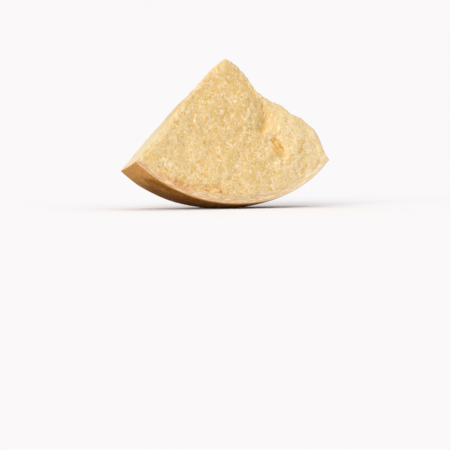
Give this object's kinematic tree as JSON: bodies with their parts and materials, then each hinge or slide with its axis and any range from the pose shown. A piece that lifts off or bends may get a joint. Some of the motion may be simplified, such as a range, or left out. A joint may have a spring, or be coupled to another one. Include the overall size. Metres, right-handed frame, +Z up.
{
  "type": "parmesan chunk",
  "caption": "Wedge broken from a large wheel of hard aged cheese, standing on its curved rind and leaning back, with crumbly craggy faces.",
  "frame": {"origin": "middle of the small flat under the curved rind, on the floor", "axes": "+Z up, -Y towards the viewer out of the craggy front face, +X to the viewer's right along the rind"},
  "size_m": [0.2948, 0.098, 0.2023],
  "materials": {
    "cheese": "crumbly matt paste, with a smooth browned rind on the curved underside"
  },
  "bodies": {
    "root": {"parmesan_chunk": "cheese"}
  },
  "joints": []
}
